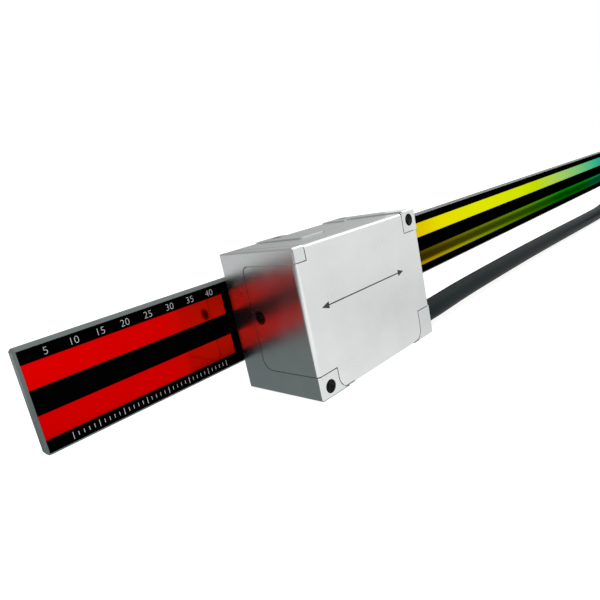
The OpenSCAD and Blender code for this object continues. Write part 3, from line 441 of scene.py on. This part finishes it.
# Cable: six cores in a satin polyurethane jacket, drawn smooth with a faint pull. It runs along
# the floor beside the scale, is wound three times into a long flat coil, and ends in the plug.
jacket, tree, place, skin = finish("extruded polyurethane jacket", {
    "Base Color": linear("252D2E"), "Specular IOR Level": 0.03})
pull = add(tree, "ShaderNodeTexNoise", {"Vector": place, "Scale": 1 / (0.5 * MM), "Detail": 2.0})
dull = add(tree, "ShaderNodeMapRange", {0: pull.outputs[0], 3: 0.33, 4: 0.4})
tree.links.new(dull.outputs[0], skin.inputs["Roughness"])
bump = add(tree, "ShaderNodeBump", {"Height": pull.outputs[0], "Strength": 0.05, "Distance": 0.03 * MM})
tree.links.new(bump.outputs[0], skin.inputs["Normal"])
dress(jacket, "cable_stub", "cable_run", "cable_coil", "cable_tail")

RUN = ((-138.4, -24.2, -11.7), (-132.4, -24.2, -11.7), (-124, -23.9, -11.7), (-117, -23.6, -11.7),
       (-110, -23.4, -11.75), (-100, -23.3, -11.8), (-85, -23.2, -11.9), (-70, -23.2, -12),
       (-55, -23.3, -12.15), (-40, -23.5, -12.3), (-25, -23.8, -12.45), (-10, -24.1, -12.6),
       (5, -24.4, -12.7), (18, -24.3, -12.8), (30, -23.3, -12.85), (41, -21.9, -12.85),
       (50, -21.2, -12.85))
TAIL = ((118, -21, -7.25), (128, -21, -7.4), (138, -21, -7.85), (147, -21, -8.4), (154, -21, -8.6),
        (160, -21, -8.6))
# The coil in millimetres: the ends of its straights, its middle line, its folds and its two layers.
left, right, centre = 62, 118, -43.6
inner, outer = 17, 22.6
between, shifted = (inner + outer) / 2, centre - (outer - inner) / 2
low, high = -12.85, -7.25
# The folds in order, each with the side it lies on, its middle and its radius.
FOLDS = ((1, centre, outer), (-1, shifted, between), (1, centre, inner), (-1, centre, inner),
         (1, shifted, between), (-1, centre, outer))
# The cable climbs to its upper layer in one of the folds.
CLIMBING_FOLD, CLIMB_POINTS = 3, 10
STRAIGHT_POINTS, FOLD_POINTS = 4, 12
route = list(RUN)
for number, (side, fold_y, radius) in enumerate(FOLDS):
    begin, end = (left, right) if side > 0 else (right, left)
    layer = high if number > CLIMBING_FOLD else low
    for k in range(STRAIGHT_POINTS):
        route.append((begin + (end - begin) * k / STRAIGHT_POINTS, fold_y + side * radius, layer))
    for k in range(FOLD_POINTS):
        if number == CLIMBING_FOLD:
            layer = low + (high - low) * math.sin(math.pi / 2 * min(k / CLIMB_POINTS, 1))
        angle = math.pi * k / FOLD_POINTS
        route.append((end + side * radius * math.sin(angle),
                      fold_y + side * radius * math.cos(angle), layer))
for k in range(STRAIGHT_POINTS):
    route.append((left + (right - left) * k / STRAIGHT_POINTS, centre + outer, high))
route += TAIL
line = bpy.data.curves.new("cable", "CURVE")
line.dimensions = "3D"
line.bevel_depth = 2.75 * MM
line.bevel_resolution = 5
line.use_fill_caps = True
line.resolution_u = 6
spline = line.splines.new("BEZIER")
spline.bezier_points.add(len(route) - 1)
for point, where in zip(spline.bezier_points, route):
    point.co = Vector(where) * MM
    point.handle_left_type = point.handle_right_type = "AUTO"
line.materials.append(jacket)
cable = bpy.data.objects.new("cable", line)
bpy.context.scene.collection.objects.link(cable)
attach(cable, "head")
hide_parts("cable_run", "cable_coil", "cable_tail")


# Plug end: the tail's bend relief and the grip are moulded in soft black thermoplastic over the
# cable, with a fine eroded grain. The tie is a woven hook-and-loop tape, matt and ribbed.
def moulded(name, colours, grain, roughness, height, **shader):
    """A moulded or cast finish: two near colours, and a grain of a size and height in millimetres."""
    patch = 12 * grain
    material, tree, place, skin = finish(name, shader)
    fine = add(tree, "ShaderNodeTexNoise", {"Vector": place, "Scale": 1 / (grain * MM), "Detail": 2.0})
    broad = add(tree, "ShaderNodeTexNoise", {"Vector": place, "Scale": 1 / (patch * MM)})
    mixed = add(tree, "ShaderNodeMix", {0: broad.outputs[0], 6: linear(colours[0]), 7: linear(colours[1])},
                data_type="RGBA")
    tree.links.new(mixed.outputs[2], skin.inputs["Base Color"])
    dull = add(tree, "ShaderNodeMapRange", {0: fine.outputs[0], 3: roughness - 0.05, 4: roughness + 0.05})
    tree.links.new(dull.outputs[0], skin.inputs["Roughness"])
    bump = add(tree, "ShaderNodeBump", {
        "Height": fine.outputs[0], "Strength": 0.3, "Distance": height * MM})
    tree.links.new(bump.outputs[0], skin.inputs["Normal"])
    return material


dress(moulded("eroded-grain soft thermoplastic", ("0E1011", "171A1B"), 0.35, 0.55, 0.03),
      "bend_relief", "plug_grip")

tape, tree, place, weft = finish("woven hook-and-loop tape", {"Roughness": 0.9, "Sheen Weight": 0.3})
threads = add(tree, "ShaderNodeTexWave", {"Vector": place, "Scale": 1 / (1.6 * MM), "Distortion": 1.0},
              bands_direction="X")
ribs = add(tree, "ShaderNodeTexNoise", {"Vector": place, "Scale": 1 / (0.25 * MM), "Detail": 3.0})
weave = add(tree, "ShaderNodeMath", {0: threads.outputs["Fac"], 1: ribs.outputs[0]}, operation="ADD")
bump = add(tree, "ShaderNodeBump", {"Height": weave.outputs[0], "Strength": 0.8, "Distance": 0.12 * MM})
tree.links.new(bump.outputs[0], weft.inputs["Normal"])
dye = add(tree, "ShaderNodeMix", {0: ribs.outputs[0], 6: linear("0B0C0D"), 7: linear("2A2C2D")},
          data_type="RGBA")
tree.links.new(dye.outputs[2], weft.inputs["Base Color"])
dress(tape, "coil_tie")


# Plug face: a glass-filled nylon carrier with gold-plated contacts and a red silicone seal,
# inside a turned and knurled ring of nickel-plated brass, which is bright with faint lathe lines.
dress(moulded("glass-filled nylon", ("15171A", "1F2225"), 0.2, 0.5, 0.02), "plug_insert")
dress(moulded("red silicone rubber", ("8E1410", "A01A14"), 0.3, 0.45, 0.01), "plug_seal")
dress(moulded("gold plating on turned contacts", ("E8B95C", "F2C873"), 0.1, 0.22, 0.003, Metallic=1.0),
      "plug_pins")

nickel, tree, place, turned = finish("turned and nickel-plated brass", {"Metallic": 1.0})
across = add(tree, "ShaderNodeMapping", {0: place, 3: (1 / (0.12 * MM), 1 / (6 * MM), 1 / (6 * MM))})
lathe = add(tree, "ShaderNodeTexNoise", {"Vector": across.outputs[0], "Scale": 1.0, "Detail": 2.0})
wide = add(tree, "ShaderNodeTexNoise", {"Vector": place, "Scale": 1 / (4 * MM)})
warm = add(tree, "ShaderNodeMix", {0: wide.outputs[0], 6: linear("B9B7AF"), 7: linear("CBC9C2")},
           data_type="RGBA")
tree.links.new(warm.outputs[2], turned.inputs["Base Color"])
dull = add(tree, "ShaderNodeMapRange", {0: lathe.outputs[0], 3: 0.2, 4: 0.32})
tree.links.new(dull.outputs[0], turned.inputs["Roughness"])
bump = add(tree, "ShaderNodeBump", {"Height": lathe.outputs[0], "Strength": 0.2, "Distance": 0.01 * MM})
tree.links.new(bump.outputs[0], turned.inputs["Normal"])
dress(nickel, "coupling_nut")


# Gasket and scanning optics: the matt nitrile seal under the cover, the clear scanning plate in its
# amber bond line, and the lens, gold lamp and photodetectors in their black anodised carrier.
dress(moulded("nitrile rubber", ("101010", "191919"), 0.25, 0.75, 0.02), "cover_gasket")
dress(moulded("cured epoxy bond", ("C9B676", "D8C78C"), 0.6, 0.35, 0.01), "reticle_bond")
dress(moulded("black anodised aluminium", ("08090A", "101113"), 0.15, 0.45, 0.01, Metallic=0.6),
      "optics_carrier", "lens_ring")
dress(moulded("polished optical glass", ("DDEEEA", "E6F3F0"), 3.0, 0.06, 0.0005,
              **{"Transmission Weight": 1.0}), "reticle_plate")
dress(moulded("coated lens glass", ("D5E4F2", "E4ECF7"), 3.0, 0.06, 0.0005,
              **{"Transmission Weight": 1.0, "Coat Weight": 0.4}), "condenser_lens")
dress(moulded("gold plating on pressed steel", ("D8A84C", "E4B962"), 0.3, 0.28, 0.005, Metallic=1.0),
      "light_source", "crimp_ferrule")
dress(moulded("polished silicon", ("11151F", "1C2233"), 0.8, 0.1, 0.001), "detector_array")


# Electronics: two boards on brass pillars with their chip, passives, flex link and socket, and the
# cable's coloured cores. The green mask over the copper tracks is seen as slightly paler lines.
board, tree, place, lacquer = finish("solder mask over copper tracks", {"Roughness": 0.35})
lanes = add(tree, "ShaderNodeTexBrick", {
    "Vector": place, "Color1": linear("0E4A2A"), "Color2": linear("14583A"), "Mortar": linear("2B7A50"),
    "Scale": 1.0, "Mortar Size": 0.15 * MM, "Brick Width": 2.4 * MM, "Row Height": 0.9 * MM})
tree.links.new(lanes.outputs["Color"], lacquer.inputs["Base Color"])
bump = add(tree, "ShaderNodeBump", {
    "Height": lanes.outputs["Fac"], "Strength": 0.3, "Distance": 0.03 * MM})
tree.links.new(bump.outputs[0], lacquer.inputs["Normal"])
dress(board, "sensor_board", "signal_board")
dress(moulded("turned brass", ("C79A4B", "D6AB5C"), 0.15, 0.3, 0.005, Metallic=1.0), "board_pillars")
dress(moulded("zinc-plated steel", ("B9BEC4", "CBCFD3"), 0.5, 0.35, 0.01, Metallic=1.0),
      "carrier_screws", "board_screws", "cable_clamp", "clamp_screw")
dress(moulded("moulded epoxy package", ("141415", "1E1E1F"), 0.2, 0.6, 0.01), "signal_chip")
dress(moulded("ceramic with tinned ends", ("8A6A4A", "B9A78F"), 0.12, 0.4, 0.005), "board_components")
dress(moulded("polyimide film", ("9A4E12", "B5641D"), 0.8, 0.25, 0.004), "flex_link")
dress(moulded("natural nylon", ("DAD3BE", "E6E0CC"), 0.3, 0.45, 0.01), "board_connector", "wire_plug")

NEAREST_CORE, FURTHEST_CORE = -26.8 * MM, -21.6 * MM
TINTS = ("7A4A22", "D9D9D6", "2F7D3A", "D8C22C", "3656A8", "C22A2A")
cores, tree, place, sleeve = finish("coloured core insulation", {"Roughness": 0.4})
side_by_side = add(tree, "ShaderNodeSeparateXYZ", {0: place}).outputs["Y"]
spread = add(tree, "ShaderNodeMapRange", {0: side_by_side, 1: NEAREST_CORE, 2: FURTHEST_CORE})
tints = add(tree, "ShaderNodeValToRGB", {0: spread.outputs[0]})
tints.color_ramp.interpolation = "CONSTANT"
stops = tints.color_ramp.elements
for number, colour in enumerate(TINTS):
    stop = stops[number] if number < 2 else stops.new(1.0)
    stop.position = number / len(TINTS)
    stop.color = linear(colour)
tree.links.new(tints.outputs[0], sleeve.inputs["Base Color"])
dress(cores, "cable_cores")
